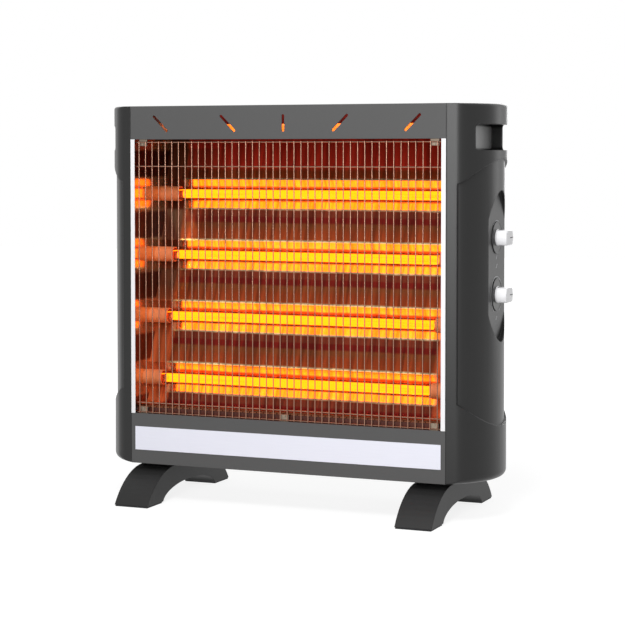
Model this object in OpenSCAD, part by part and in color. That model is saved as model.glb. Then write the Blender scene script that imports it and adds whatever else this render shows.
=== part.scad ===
// Standing quartz heater: four glowing tubes in a tilted reflector behind a wire guard,
// sheet casing, two moulded side panels with hand grips, two rotary switches, two bridge feet.
// Body frame: X to the viewer's right, Y backwards from the front panel, Z up from the casing's underside.

/* [Casing] */
// Width of the front panel between the side panels
panel_w = 462; // [450:1:490]
// Height of the casing without its feet
body_h = 498; // [490:1:520]
// Depth of the casing from front panel to back panel
body_d = 156; // [152:1:170]
// Thickness of the casing sheet
sheet = 1.5; // [1.2:0.1:1.8]
// Height of the front panel above the window
head_h = 46; // [42:1:50]
// Height of the front panel below the window
sill_h = 70; // [66:1:74]
// Width of the upright beside the window
stile_w = 5.6; // [5:0.1:7]
// Depth of the folded edges of the casing sheets
fold_w = 12.5; // [10:0.5:14]

/* [Ray slots] */
// Number of slots in the panel above the window
slot_count = 5; // [3:2:5]
// Distance from one slot to the next
slot_pitch = [82.5, 102.5]; // [60:1:110]
// Height that a slot spans
slot_rise = 23.5; // [18:0.5:26]
// Width of a slot
slot_w = 3.8; // [3:0.1:5]
// Height of the slots' middle above the window's top edge
slot_above = 21.5; // [18:0.5:24]

/* [Trim] */
// Width of the bright strips at the sides of the window
trim_w = 6; // [5:0.5:7]
// Thickness of the bright strips
trim_t = 0.8; // [0.6:0.1:1.2]
// Length of the blank strip below the window
plate_w = 450; // [400:1:455]
// Height of the blank strip
plate_h = 32.6; // [28:0.5:36]
// Height of the blank strip's lower edge above the casing's underside
plate_z = 19; // [14:0.5:24]

/* [Side panels] */
// How far a side panel bulges past the front panel
bulge = 55; // [50:1:58]
// Width of the narrow strip beside the front panel
strip_w = 20; // [18:0.5:24]
// How far back the strip's outer edge lies
strip_set = 4; // [3:0.5:6]
// Radius of the upright edge between the strip and the bulge
crease_r = 30; // [20:1:36]
// Wall of the side panels
wall = 2.8; // [2.4:0.1:3]
// Radius of the lower outside edge
edge_low = 10; // [7:0.5:12]
// Radius of the upper outside edge
edge_top = 4; // [3.5:0.5:6]
// Depth of the sunk middle zone
sunk_d = 3; // [2:0.5:3.5]
// Radius of the arched ends of the sunk zone
sunk_r = 100; // [96:1:110]
// Height of the lowest point of the sunk zone
sunk_low = 71; // [66:1:76]
// Height of the highest point of the sunk zone
sunk_high = 426; // [420:1:430]
// Where the sunk zone starts on the front strip, from the joint
sunk_start = 14.6; // [12:0.2:16]

/* [Grip pockets] */
// Length of the hand grip pocket, front to back
pocket_l = 118; // [100:1:120]
// Height of the pocket
pocket_h = 34; // [30:1:36]
// Height of the casing above the pocket
pocket_top = 27; // [24:1:30]
// Distance of the pocket's inner wall from the joint
pocket_x = 19; // [17:0.5:24]
// Corner radius of the pocket
pocket_r = 5; // [3:0.5:8]

/* [Control face] */
// How far the flat control face lies inside the bulge
face_set = 10; // [9:0.5:11]
// Half the width of the oval that bounds the control face
face_a = 45; // [42:1:50]
// Half the height of the oval
face_b = 101; // [96:1:104]
// Height of the control face's middle
face_z = 283; // [275:1:290]
// Distance between the two knobs
knob_gap = 76; // [70:1:82]

/* [Knobs] */
// Radius of a knob's skirt
skirt_r = 22; // [17:0.5:22]
// Thickness of the skirt
skirt_t = 3.5; // [3.2:0.1:4]
// Height of the knob's tip above the control face
knob_reach = 18.5; // [18.5:0.5:26]
// Width of the grip bar
grip_w = 20; // [12:0.5:20]
// Half the length of the grip bar
grip_r = 16; // [14:0.5:18]
// Radius of the switch spindle
spindle_r = 3; // [2.5:0.25:3.5]
// Running clearance round the spindle
spindle_gap = 0.05; // [0.02:0.01:0.1]

/* [Tubes] */
// Number of heating tubes
tube_count = 4; // [3:1:4]
// Outside radius of a quartz tube
tube_r = 9; // [7.8:0.1:9.2]
// Wall of a quartz tube
tube_wall = 1.4; // [1:0.1:1.6]
// Distance from one tube to the next along the reflector
tube_pitch = 88; // [84:0.2:89]
// Depth of the lowest tube behind the front panel
tube_y = 38.5; // [36:0.5:42]
// Height of the lowest tube
tube_z = 117; // [112:1:118]
// Backward lean of the row of tubes, in degrees
lean = 12.1; // [10:0.1:13]
// Length of the wound part of a heating coil
coil_l = 390; // [360:1:392]
// Radius of a heating coil
coil_r = 6.3; // [4:0.1:7.4]
// Radius of a coil's connecting tail
tail_r = 1.2; // [1:0.1:1.4]
// Radius of a ceramic end cap
cap_r = 10.6; // [10.5:0.1:11.5]
// Distance of the end caps' mouths from each other
cap_span = 400; // [394:1:404]

/* [Reflector] */
// Thickness of the reflector sheet
mirror_t = 1; // [0.8:0.1:1.2]
// Distance of a trough's floor behind the tube's axis
trough_d = 17; // [15:0.5:18]
// Distance of a trough's mouth behind the tube's axis
land_d = 11; // [10:0.5:13]
// Half the width of the flat strip along a trough's floor
trough_floor = 3; // [2:0.5:6]
// Half the width of a trough's mouth
trough_mouth = 20; // [17:0.5:21]
// Distance of the reflector's upper edge below the casing's top
mirror_drop = 35.76; // [34:0.01:40]
// Length of the land below the first trough
land_low = 13; // [12:0.5:16]
// Size of the folded brow at the top
brow = 12; // [9:0.5:13]

/* [Guard] */
// Distance from one upright wire to the next
wire_pitch = 10.2; // [9.4:0.1:10.2]
// Radius of an upright wire
wire_r = 0.8; // [0.7:0.05:1.1]
// Radius of a cross wire
cross_r = 0.9; // [0.8:0.05:1.2]
// Depth of the weld where two wires cross
weld = 0.2; // [0.15:0.05:0.3]

/* [Feet] */
// Height of the feet
foot_h = 52.6; // [50:0.2:56]
// Length of a foot, front to back
foot_l = 262; // [250:1:270]
// Width of a foot
foot_w = 51; // [46:1:54]
// Height of a foot's shoulder above the floor
foot_crest = 47.4; // [45:0.2:48]
// Length of the flat top between the two shoulders
foot_flat = 92; // [88:1:100]
// Length of the arch under a foot
arch_l = 166; // [150:1:172]
// Height of the arch
arch_h = 22; // [18:0.5:24]
// Wall of a foot
foot_wall = 3; // [2.5:0.1:3.5]
// Thickness of the rubber pads
pad_t = 2; // [1.5:0.1:2.5]

/* [Cable entry] */
// Radius of the cable hole through the gland
cable_r = 4; // [3:0.25:4.5]
// Distance of the gland from the middle
gland_x = 190; // [150:1:195]
// Height of the gland
gland_z = 40; // [34:1:50]

/* [Hidden] */

seam = panel_w / 2;
mid_y = body_d / 2;
eps = 1;
fit = 0.3;
ray_turn = 45;

// side panel: its bulge is an arc about mid depth that starts at the strip's outer edge
arc_half = mid_y - strip_set;
arc_x = (bulge * bulge - strip_w * strip_w - arc_half * arc_half) / (2 * (bulge - strip_w));
arc_r = bulge - arc_x;
strip_slope = strip_set / strip_w;
strip_turn = atan(strip_slope);
crease_steps = 8;
face_x = bulge - face_set;
sunk_side = 2;

// the knobs stand past the bulge on the right, so the middle of the part lies to the right of the casing's
knob_tip = face_x + knob_reach;
shift_x = max(0, knob_tip - bulge) / 2;

window_top = body_h - head_h;
pocket_z = body_h - pocket_top - pocket_h / 2;

// front of the reflector, seen from the side: a tilted line through the tubes' axes
cheek_t = 1;
cheek_in = seam - sheet - cheek_t;
mouth_low = -(trough_mouth + land_low);
mouth_high = (body_h - mirror_drop - tube_z + land_d * sin(lean)) / cos(lean);
lip_front = 12;
brow_run = 0.8;
cheek_front = 6.5;
cheek_back = 14;

// guard: uprights against the back of the front panel, cross wires welded behind them
upright_y = sheet + wire_r;
cross_y = upright_y + wire_r + cross_r - weld;
cross_low = [1.5, 15];
cross_high = [37.3, 4];
cross_z = [sill_h + cross_low[0], sill_h + cross_low[1],
    window_top - cross_high[0], window_top - cross_high[1]];
guard_lap = 1.6;
guard_end = seam - stile_w + guard_lap;
guard_hold = 6;
wire_side = 5;
wire_count = 2 * floor((guard_end - wire_side) / wire_pitch + 0.5);

knob_z = [face_z + knob_gap / 2, face_z - knob_gap / 2];
switch_size = [22, 30, 30];
bush_r = 4.75;
bush_out = 3;
bush_gap = 0.25;
spindle_in = 13;
blind_room = 1;
shaft_flat = 0.6;
nut_room = 0.8;
nut_bore_gap = 0.1;
nut_flats = 13;
nut_t = 2.4;
tail_out = 12;
cap_out = 6;
cap_lip = 6;
bore_gap = 0.3;

boss_r = 4;
screw_r = 1.4;
pilot_r = 1.5;
head_r = 3.2;
head_t = 2;
side_screw_l = 10;
back_screw_l = 8;
pilot_l = 12;
side_screw_in = 16;
side_screw_low = 24;
side_screw_high = 12;
side_screw_at = [for (z = [side_screw_low, body_h - side_screw_high])
    for (y = [side_screw_in, body_d - side_screw_in]) [y, z]];
back_screw_low = 20;
back_screw_high = 22;
back_screw_z = [back_screw_low, body_h / 3, body_h * 2 / 3, body_h - back_screw_high];

foot_inset = 0.5;
foot_x = seam - foot_inset - foot_w / 2;
foot_run = (foot_l - foot_flat) / 2;
foot_arc = (foot_run * foot_run + foot_crest * foot_crest) / (2 * foot_crest);
foot_post = 40;
post_r = 5;
bolt_r = 2;
sole_short = 4;
sole_l = (foot_l - arch_l) / 2 - sole_short;

block_size = [31, 45, 24];
block_drop = 20;
block_z = gland_z - block_drop;
block_hole = [3, 10];
block_hole_in = 9;
block_hole_up = 12;
block_hole_pitch = 14;
switch_lead_in = 8;
switch_lead_side = 6;
tip_size = [20, 34, 52];
tip_wall = 2;
tip_pin_r = 1.5;
tip_gap = 0.5;
boss_room = 1;
tip_y = body_d - side_screw_in - boss_r - boss_room - tip_size[1];
block_y = tip_y - tip_gap - block_size[1];

// a point u along the row of tubes and v in front of it
function tilted(u, v) = [tube_y + u * sin(lean) - v * cos(lean), tube_z + u * cos(lean) + v * sin(lean)];
function strip_y(x, inset) = strip_slope * x + inset * sqrt(1 + strip_slope * strip_slope);
function oval(a, b, n) = [for (i = [0:n - 1]) [a * cos(360 * i / n), b * sin(360 * i / n)]];

module in_body() {
    translate([-shift_x, -mid_y, foot_h]) children();
}

// extrudes a shape drawn in (Y, Z) along X, centred
module along_x(length) {
    translate([-length / 2, 0, 0]) rotate([90, 0, 90]) linear_extrude(length) children();
}

// extrudes a shape drawn in (X, Z) backwards from y, with the given depth
module along_y(y, depth) {
    translate([0, y + depth, 0]) rotate([90, 0, 0]) linear_extrude(depth) children();
}

module rounded(w, h, r) {
    square([w - 2 * r, h], center = true);
    square([w, h - 2 * r], center = true);
    for (x = [-1, 1], y = [-1, 1]) {
        translate([x * (w / 2 - r), y * (h / 2 - r)]) circle(r, $fn = 32);
    }
}

module pin_x(r, length) {
    rotate([0, 90, 0]) cylinder(h = length, r = r, $fn = 32);
}

module pin_y(r, length) {
    rotate([-90, 0, 0]) cylinder(h = length, r = r, $fn = 32);
}

module each_side() {
    for (s = [0, 1]) mirror([s, 0, 0]) children();
}

// ---- casing sheets ----

module ray_slot(angle) {
    rotate(angle) {
        length = slot_rise / cos(angle) - (angle == 0 ? 0 : slot_w / 2);
        square([slot_w, length - slot_w], center = true);
        for (s = [-1, 1]) translate([0, s * (length - slot_w) / 2]) circle(slot_w / 2, $fn = 24);
    }
}

module front_frame() {
    color("#62646a") in_body() {
        along_y(0, sheet) difference() {
            translate([-seam, 0]) square([panel_w, body_h]);
            translate([-seam + stile_w, sill_h]) square([panel_w - 2 * stile_w, window_top - sill_h]);
            translate([0, window_top + slot_above]) ray_slot(0);
            for (s = [-1, 1]) {
                translate([s * slot_pitch[0], window_top + slot_above]) ray_slot(-s * ray_turn);
                if (slot_count > 3)
                    translate([s * (slot_pitch[0] + slot_pitch[1]), window_top + slot_above])
                        ray_slot(-s * ray_turn);
            }
        }
        for (z = [sheet, body_h - 2 * sheet]) {
            translate([-seam + sheet, sheet, z]) cube([panel_w - 2 * sheet, fold_w, sheet]);
        }
    }
}

module vent_rows(columns, rows, size, pitch) {
    for (i = [0:columns - 1], j = [0:rows - 1]) {
        translate([(i - (columns - 1) / 2) * pitch[0], (j - (rows - 1) / 2) * pitch[1]])
            rounded(size[0], size[1], size[1] / 2 - 0.01);
    }
}

function columns_in(width, pitch) = floor(width / pitch);

module flat_sheet() {
    linear_extrude(sheet) difference() {
        translate([-seam, sheet]) square([panel_w, body_d - 2 * sheet]);
        children();
    }
}

top_vent = [36, 5];
top_vent_pitch = [46, 11];
top_vent_rows = 3;
top_vent_side = 20;
top_vent_share = 0.72;

module top_cover() {
    columns = columns_in(panel_w - 2 * top_vent_side, top_vent_pitch[0]);
    color("#55575c") in_body() {
        translate([0, 0, body_h - sheet]) flat_sheet()
            translate([0, body_d * top_vent_share])
                vent_rows(columns, top_vent_rows, top_vent, top_vent_pitch);
    }
}

low_vent = [40, 6];
low_vent_pitch = [52, 18];
low_vent_rows = 4;
low_vent_side = 45;

module bottom_tray() {
    columns = columns_in(2 * (foot_x - low_vent_side), low_vent_pitch[0]);
    color("#4a4c50") in_body() {
        flat_sheet() {
            translate([0, mid_y]) vent_rows(columns, low_vent_rows, low_vent, low_vent_pitch);
            for (s = [-1, 1], y = [-1, 1])
                translate([s * foot_x, mid_y + y * foot_post]) circle(bolt_r + fit, $fn = 32);
        }
    }
}

back_vent = [56, 5];
back_vent_pitch = [68, 14];
back_vent_rows = [8, 4];
back_vent_shares = [0.66, 0.2];
back_vent_side = 25;

module back_panel() {
    columns = columns_in(panel_w - 2 * back_vent_side, back_vent_pitch[0]);
    color("#505257") in_body() {
        along_y(body_d - sheet, sheet) difference() {
            translate([-seam, 0]) square([panel_w, body_h]);
            translate([0, body_h * back_vent_shares[0]])
                vent_rows(columns, back_vent_rows[0], back_vent, back_vent_pitch);
            translate([0, body_h * back_vent_shares[1]])
                vent_rows(columns - 2, back_vent_rows[1], back_vent, back_vent_pitch);
            translate([gland_x, gland_z]) circle(neck_r + neck_gap, $fn = 48);
            for (s = [-1, 1], z = back_screw_z)
                translate([s * (seam - sheet - fold_w / 2), z]) circle(screw_r + fit, $fn = 24);
        }
    }
}

module tube_holes() {
    for (i = [0:tube_count - 1]) translate(tilted(i * tube_pitch, 0)) circle(cap_r + fit, $fn = 48);
}

lead_hole = [20, 12];
lead_hole_r = 4;
lead_hole_up = 10;

module end_frame() {
    difference() {
        union() {
            translate([seam - sheet / 2, 0, 0]) along_x(sheet) difference() {
                translate([sheet, sheet]) square([body_d - 2 * sheet, body_h - 2 * sheet]);
                tube_holes();
                for (p = side_screw_at) translate(p) circle(screw_r + fit, $fn = 24);
                translate([mid_y, gland_z + lead_hole_up]) rounded(lead_hole[0], lead_hole[1], lead_hole_r);
            }
            translate([seam - sheet - fold_w, body_d - 2 * sheet, sheet])
                cube([fold_w, sheet, body_h - 2 * sheet]);
        }
        for (z = back_screw_z)
            translate([seam - sheet - fold_w / 2, body_d - 3 * sheet, z]) pin_y(pilot_r, 3 * sheet);
    }
}

module end_frame_left() {
    color("#a9abad") in_body() mirror([1, 0, 0]) end_frame();
}

module end_frame_right() {
    color("#a9abad") in_body() end_frame();
}

// ---- bright trim ----

module window_trim() {
    translate([seam - trim_w, -trim_t, sill_h]) cube([trim_w, trim_t, window_top - sill_h]);
}

module window_trim_left() {
    color("#dfe1e4") in_body() mirror([1, 0, 0]) window_trim();
}

module window_trim_right() {
    color("#dfe1e4") in_body() window_trim();
}

module front_strip() {
    color("#e8e9ec") in_body()
        translate([-plate_w / 2, -trim_t, plate_z]) cube([plate_w, trim_t, plate_h]);
}

// ---- side panels ----

// the front half of the panel seen from above: the strip, the rounded edge and its tangent out to the middle
function front_plan(inset, x0) = let (
    along = [cos(strip_turn), sin(strip_turn)],
    inwards = [-sin(strip_turn), cos(strip_turn)],
    from_arc = crease_r * inwards - [arc_x, mid_y],
    reach = -from_arc * along + sqrt((from_arc * along) ^ 2 - from_arc * from_arc + (arc_r - crease_r) ^ 2),
    centre = reach * along + crease_r * inwards,
    first = strip_turn - 90,
    last = atan2(centre[1] - mid_y, centre[0] - arc_x),
    r = crease_r - inset,
    round = [for (i = [0:crease_steps]) let (a = first + (last - first) * i / crease_steps)
        centre + r * [cos(a), sin(a)]],
    edge = round[crease_steps],
    out = (mid_y - edge[1]) / cos(last)
) concat([[x0, strip_y(x0, inset)]], round, [[edge[0] - sin(last) * out, mid_y - eps]]);

// the panel's outer form with every face moved inwards by inset, from x0 outwards
module side_form(inset, x0) {
    front = front_plan(inset, x0);
    r_low = max(edge_low - inset, 1);
    r_top = max(edge_top - inset, 1);
    intersection() {
        translate([0, 0, inset]) linear_extrude(body_h - 2 * inset)
            polygon(concat(front, [for (k = [len(front) - 1:-1:0]) [front[k][0], body_d - front[k][1]]]));
        translate([arc_x, mid_y, 0]) rotate_extrude($fn = 96) {
            r = arc_r - inset;
            translate([0, inset]) square([r - r_low, body_h - 2 * inset]);
            translate([0, inset + r_low]) square([r, body_h - 2 * inset - r_low - r_top]);
            translate([r - r_low, inset + r_low]) circle(r_low, $fn = 48);
            translate([0, inset + r_low]) square([r - r_top, body_h - 2 * inset - r_low]);
            translate([r - r_top, body_h - inset - r_top]) circle(r_top, $fn = 48);
        }
    }
}

// the zone that is sunk, as a block along X: an arch above and below, upright edges at the strips
module sunk_zone(grow) {
    r = sunk_r + grow;
    half = mid_y - sunk_side + grow;
    turn = asin(half / r);
    steps = 16;
    arch = [for (i = [0:steps]) let (a = -turn + 2 * turn * i / steps) [r * sin(a), r * cos(a)]];
    low = [for (p = arch) [mid_y + p[0], sunk_low + sunk_r - p[1]]];
    high = [for (p = arch) [mid_y - p[0], sunk_high - sunk_r + p[1]]];
    translate([sunk_start - grow, 0, 0]) rotate([90, 0, 90]) linear_extrude(bulge) polygon(concat(low, high));
}

module face_block(grow) {
    translate([face_x - grow, mid_y, face_z]) rotate([90, 0, 90]) linear_extrude(bulge)
        polygon(oval(face_a + grow, face_b + grow, 64));
}

module pocket_block(grow) {
    translate([pocket_x - grow, mid_y, pocket_z]) rotate([90, 0, 90]) linear_extrude(bulge)
        rounded(pocket_l + 2 * grow, pocket_h + 2 * grow, pocket_r + grow);
}

// everything but the control face and its holes is the same on both sides
module side_panel(controls) {
    difference() {
        side_form(0, 0);
        difference() {
            sunk_zone(0);
            side_form(sunk_d, -eps);
        }
        difference() {
            union() {
                difference() {
                    side_form(wall, -eps);
                    sunk_zone(wall);
                }
                side_form(wall + sunk_d, -eps);
            }
            pocket_block(wall);
            if (controls) face_block(wall);
            for (p = side_screw_at) translate([-eps, p[0], p[1]]) pin_x(boss_r, bulge + 2 * eps);
        }
        pocket_block(0);
        for (p = side_screw_at) translate([-eps, p[0], p[1]]) pin_x(pilot_r, pilot_l + eps);
        if (controls) {
            face_block(0);
            for (z = knob_z) translate([face_x - wall - eps, mid_y, z])
                pin_x(bush_r + bush_gap, wall + 2 * eps);
        }
    }
}

module side_panel_left() {
    color("#4b4d50") in_body() mirror([1, 0, 0]) translate([seam, 0, 0]) side_panel(false);
}

module side_panel_right() {
    color("#4b4d50") in_body() translate([seam, 0, 0]) side_panel(true);
}

// ---- wire guard ----

module wire_guard() {
    color("#c9ccd0") in_body() {
        for (i = [0:wire_count - 1])
            translate([(i - (wire_count - 1) / 2) * wire_pitch, upright_y, cross_z[0] - cross_r])
                cylinder(h = cross_z[3] - cross_z[0] + 2 * cross_r, r = wire_r, $fn = 24);
        for (s = [-1, 1])
            translate([s * guard_end, upright_y, sill_h - guard_hold])
                cylinder(h = window_top - sill_h + 2 * guard_hold, r = wire_r, $fn = 24);
        for (z = cross_z) translate([-guard_end - wire_r, cross_y, z])
            pin_x(cross_r, 2 * (guard_end + wire_r));
    }
}

clip_y = cross_y + cross_r;
clip_t = 1.2;
clip_w = 12;
clip_in = 11.2;
clip_x = seam - stile_w - clip_in;
clip_drop = 9;
clip_foot = [1, 6];

// a tab behind the cross wires that is fixed to the back of the front panel
module guard_clip() {
    translate([-clip_w / 2, clip_y, -clip_drop]) cube([clip_w, clip_t, clip_drop + clip_foot[1]]);
    translate([-clip_w / 2, sheet, clip_foot[0]])
        cube([clip_w, clip_y - sheet, clip_foot[1] - clip_foot[0]]);
}

module clip_places() {
    for (s = [-1, 1]) translate([s * clip_x, 0, window_top]) children();
    for (s = [-1, 0, 1]) translate([s * clip_x, 0, sill_h]) mirror([0, 0, 1]) children();
}

clip_screw_in = 2.1;
clip_screw_z = -(clip_drop - clip_screw_in);
clip_head_r = 1.6;
clip_shank_r = 1;
clip_head_t = 1.4;
clip_screw_l = 5;
screw_room = 0.1;

module guard_clips() {
    color("#9a9da1") in_body() clip_places() difference() {
        guard_clip();
        translate([0, clip_y - eps, clip_screw_z]) pin_y(clip_shank_r + screw_room, clip_t + 2 * eps);
    }
}

module guard_screws() {
    color("#b8babd") in_body() clip_places() translate([0, clip_y, clip_screw_z]) {
        translate([0, -clip_head_t, 0]) pin_y(clip_head_r, clip_head_t);
        pin_y(clip_shank_r, clip_screw_l);
    }
}

// ---- reflector ----

// half of a trough, from its mouth to its floor, as distances above and behind the tube; the troughs face
// straight forward, though the row of tubes leans
trough_steps = 8;
trough_half = [for (k = [0:trough_steps]) let (part = k / trough_steps)
    [trough_mouth + (trough_floor - trough_mouth) * part, trough_d - (trough_d - land_d) * pow(1 - part, 2)]];
trough = concat([for (p = trough_half) [p[1], -p[0]]],
    [for (k = [trough_steps:-1:0]) [trough_half[k][1], trough_half[k][0]]]);

module reflector() {
    low_land = tilted(mouth_low, -land_d);
    top_land = tilted(mouth_high, -land_d);
    front = concat(
        [[lip_front, low_land[1]], low_land],
        [for (i = [0:tube_count - 1], p = trough) tilted(i * tube_pitch, 0) + p],
        [top_land, top_land + brow * [-brow_run, 1]]);
    last = len(front) - 1;
    back = [for (k = [last:-1:0]) front[k] + mirror_t * (k == 0 ? [0, -1] : k == 1 ? [1, -1] :
        k == last ? [1, brow_run] / norm([1, brow_run]) : [1, 0])];
    color("#d8b48a") in_body() along_x(2 * cheek_in) polygon(concat(front, back));
}

module reflector_cheek() {
    low_land = tilted(mouth_low, -land_d);
    top_land = tilted(mouth_high, -land_d);
    translate([cheek_in + cheek_t / 2, 0, 0]) along_x(cheek_t) difference() {
        polygon([[cheek_front, low_land[1]], low_land + [cheek_back, 0],
            top_land + [cheek_back, 0], [cheek_front, top_land[1]]]);
        tube_holes();
    }
}

module reflector_cheek_left() {
    color("#d8b48a") in_body() mirror([1, 0, 0]) reflector_cheek();
}

module reflector_cheek_right() {
    color("#d8b48a") in_body() reflector_cheek();
}

// ---- heating tubes ----

module at_tube(i) {
    p = tilted(i * tube_pitch, 0);
    in_body() translate([0, p[0], p[1]]) children();
}

module quartz_tube(i) {
    half = cap_span / 2 + cap_lip - fit;
    if (i < tube_count) color("#ffdc3c") at_tube(i) difference() {
        translate([-half, 0, 0]) pin_x(tube_r, 2 * half);
        translate([-half - eps, 0, 0]) pin_x(tube_r - tube_wall, 2 * (half + eps));
    }
}

module quartz_tube_1() { quartz_tube(0); }
module quartz_tube_2() { quartz_tube(1); }
module quartz_tube_3() { quartz_tube(2); }
module quartz_tube_4() { quartz_tube(3); }

coil_wire = 1.2;
coil_vent_r = 0.6;

// the closely wound coil is one sleeve; its end turns close in on the tails, but for a small opening at each
// end, and the tails run out through the caps
module heating_coil(i) {
    out = seam + tail_out;
    inner_l = coil_l - 2 * coil_wire;
    if (i < tube_count) color("#ff9a20") at_tube(i) difference() {
        union() {
            translate([-coil_l / 2, 0, 0]) pin_x(coil_r, coil_l);
            each_side() translate([coil_l / 2 - eps, 0, 0]) pin_x(tail_r, out - coil_l / 2 + eps);
        }
        translate([-inner_l / 2, 0, 0]) pin_x(coil_r - coil_wire, inner_l);
        each_side() translate([inner_l / 2 - eps, 0, coil_r / 2]) pin_x(coil_vent_r, coil_wire + 2 * eps);
    }
}

module heating_coil_1() { heating_coil(0); }
module heating_coil_2() { heating_coil(1); }
module heating_coil_3() { heating_coil(2); }
module heating_coil_4() { heating_coil(3); }

module end_caps() {
    for (i = [0:tube_count - 1]) at_tube(i) difference() {
        translate([cap_span / 2, 0, 0]) pin_x(cap_r, seam + cap_out - cap_span / 2);
        translate([cap_span / 2 - eps, 0, 0]) pin_x(tube_r + bore_gap, cap_lip + eps);
        translate([cap_span / 2, 0, 0]) pin_x(tail_r + bore_gap, seam + cap_out + eps - cap_span / 2);
    }
}

module end_caps_left() {
    color("#efe9dc") translate([-2 * shift_x, 0, 0]) mirror([1, 0, 0]) end_caps();
}

module end_caps_right() {
    color("#efe9dc") end_caps();
}

terminal_r = 3.2;
terminal_room = 0.1;
tail_show = 1;
lead_r = 1.6;
lead_gap = 0.1;
lead_over = 6;

module tube_terminals() {
    length = tail_out - cap_out - tail_show;
    color("#c9a04a") for (i = [0:tube_count - 1]) at_tube(i) each_side() difference() {
        translate([seam + cap_out, 0, 0]) pin_x(terminal_r, length);
        translate([seam + cap_out - eps, 0, 0]) pin_x(tail_r + terminal_room, length + 2 * eps);
    }
}

// an insulated lead past the terminals, in front of them
module bus_lead() {
    start = tilted(-lead_over, terminal_r + lead_r + lead_gap);
    translate([seam + (tail_out + cap_out) / 2, start[0], start[1]]) rotate([-lean, 0, 0])
        cylinder(h = 2 * lead_over + (tube_count - 1) * tube_pitch, r = lead_r, $fn = 24);
}

module bus_lead_left() {
    color("#b5482e") in_body() mirror([1, 0, 0]) bus_lead();
}

module bus_lead_right() {
    color("#2f5fa8") in_body() bus_lead();
}

// ---- switches and knobs ----

module at_knob(k) {
    in_body() translate([seam + face_x, mid_y, knob_z[k]]) rotate([0, 90, 0]) children();
}

module rotary_switch(k) {
    blind = bush_out + wall + spindle_in + blind_room;
    color("#2e2f31") at_knob(k) difference() {
        union() {
            translate([-switch_size[2] / 2, -switch_size[1] / 2, -wall - switch_size[0]])
                cube([switch_size[2], switch_size[1], switch_size[0]]);
            translate([0, 0, -wall - eps]) cylinder(h = wall + eps + bush_out, r = bush_r, $fn = 48);
        }
        translate([0, 0, bush_out - blind])
            cylinder(h = blind + eps, r = spindle_r + spindle_gap, $fn = 48);
    }
}

module rotary_switch_upper() { rotary_switch(0); }
module rotary_switch_lower() { rotary_switch(1); }

module switch_nuts() {
    color("#b8babd") for (k = [0, 1]) at_knob(k) difference() {
        cylinder(h = nut_t, r = nut_flats / 2 / cos(30), $fn = 6);
        translate([0, 0, -eps]) cylinder(h = nut_t + 2 * eps, r = bush_r + nut_bore_gap, $fn = 48);
    }
}

socket_d = 13;

module d_shaft(r, length) {
    difference() {
        cylinder(h = length, r = r, $fn = 48);
        translate([r * shaft_flat, -r, -eps]) cube([r, 2 * r, length + 2 * eps]);
    }
}

module spindle(k) {
    foot = wall + spindle_in;
    color("#c8c9cc") at_knob(k) {
        translate([0, 0, -foot]) cylinder(h = foot + bush_out, r = spindle_r, $fn = 48);
        translate([0, 0, bush_out]) d_shaft(spindle_r, skirt_t - bush_out + socket_d - fit);
    }
}

module spindle_upper() { spindle(0); }
module spindle_lower() { spindle(1); }

module knob_skirt(k) {
    color("#b9bbbe") at_knob(k) difference() {
        translate([0, 0, fit]) cylinder(h = skirt_t - fit, r = skirt_r, $fn = 96);
        translate([0, 0, -eps])
            cylinder(h = skirt_t + 2 * eps, r = nut_flats / 2 / cos(30) + nut_room, $fn = 48);
    }
}

module knob_skirt_upper() { knob_skirt(0); }
module knob_skirt_lower() { knob_skirt(1); }

// the grip is a bar across the skirt with round ends
module knob_grip(k) {
    color("#ececee") at_knob(k) translate([0, 0, skirt_t]) difference() {
        intersection() {
            cylinder(h = knob_reach - skirt_t, r = grip_r, $fn = 96);
            translate([-grip_w / 2, -grip_r - eps, 0]) cube([grip_w, 2 * (grip_r + eps), knob_reach]);
        }
        translate([0, 0, -eps]) d_shaft(spindle_r + spindle_gap, socket_d + eps);
    }
}

module knob_grip_upper() { knob_grip(0); }
module knob_grip_lower() { knob_grip(1); }

// pairs of leads from the terminal block up to the lower switch and on to the upper one
module switch_leads() {
    from_z = [block_z + block_size[2], knob_z[1] + switch_size[2] / 2];
    to_z = [knob_z[1] - switch_size[2] / 2, knob_z[0] - switch_size[2] / 2];
    color("#3a6a3e") in_body() for (n = [0, 1], s = [-1, 1])
        translate([seam + block_size[0] - switch_lead_in, mid_y + s * switch_lead_side, from_z[n]])
            cylinder(h = to_z[n] - from_z[n], r = lead_r, $fn = 24);
}

// ---- safety parts and cable entry ----

cutout_r = 8;
cutout_t = 6;
cutout_ear = [6, 0.8, 20];

// the cut-out sits on the back of the land between the second and the third trough
module thermal_cutout() {
    land_lean = atan2(tube_pitch * sin(lean), tube_pitch * cos(lean) - 2 * trough_mouth);
    p = tilted(1.5 * tube_pitch, 0) + [land_d, 0];
    color("#8c8f93") in_body() translate([0, p[0], p[1]]) rotate([-land_lean, 0, 0])
        translate([0, mirror_t * cos(land_lean) + fit, 0]) {
            pin_y(cutout_r, cutout_t);
            translate([-cutout_ear[0] / 2, cutout_t - eps, -cutout_ear[2] / 2]) cube(cutout_ear);
        }
}

module terminal_block() {
    color("#e6e2d6") in_body() difference() {
        translate([seam, block_y, block_z]) cube(block_size);
        for (s = [-1, 0, 1]) translate([seam + block_size[0] - block_hole_in,
            block_y + block_size[1] / 2 + s * block_hole_pitch,
            block_z + block_hole_up]) pin_x(block_hole[0], block_hole[1]);
    }
}

tip_z = 16;
tip_at = [seam, tip_y, tip_z];
tip_pin_drop = 10;
tip_pin_z = tip_size[2] - tip_pin_drop;
tip_pin_in = 0.5;
swing_w = 10;
swing_eye_r = 4;
swing_arm = 3;
swing_arm_l = 24;
swing_arm_in = 2;
swing_drop = 28;
swing_weight_r = 5.5;

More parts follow.
